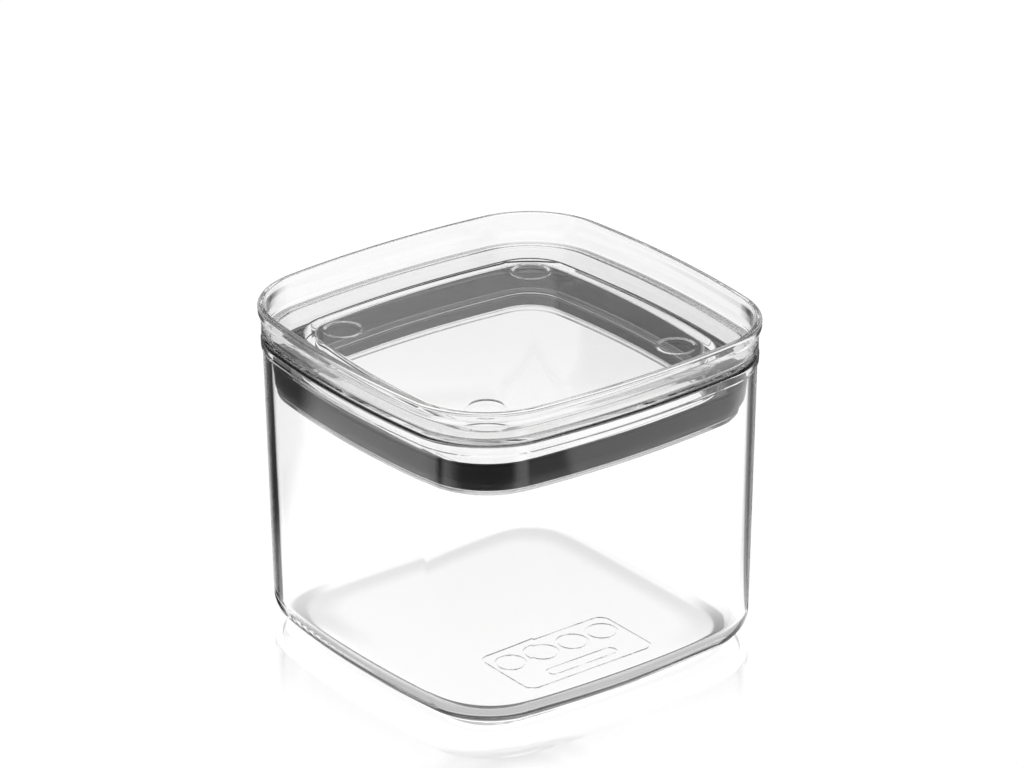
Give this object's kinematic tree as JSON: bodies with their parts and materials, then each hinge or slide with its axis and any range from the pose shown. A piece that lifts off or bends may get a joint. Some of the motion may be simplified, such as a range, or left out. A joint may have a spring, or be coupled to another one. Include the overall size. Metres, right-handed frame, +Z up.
{
  "type": "lidded storage canister",
  "caption": "Square clear storage canister with rounded corners and an inset lift-off lid, whose plug carries a dark flexible seal and whose raised rim is a stacking collar.",
  "frame": {"origin": "centre of the base face, on the surface that the canister stands on", "axes": "+Z up, the way the lid lifts off; X and Y run square to the four sides"},
  "size_m": [0.108, 0.108, 0.0881],
  "materials": {
    "jar": "clear polished moulding",
    "lid": "clear polished moulding",
    "seal": "smooth dark grey silicone"
  },
  "bodies": {
    "jar": {"jar": "jar"},
    "lid": {"lid": "lid", "seal": "seal"}
  },
  "joints": [
    {"name": "lid_lift", "type": "slide", "parent": "jar", "child": "lid", "axis": [0, 0, 1], "range_m": [0, 0.06]}
  ]
}
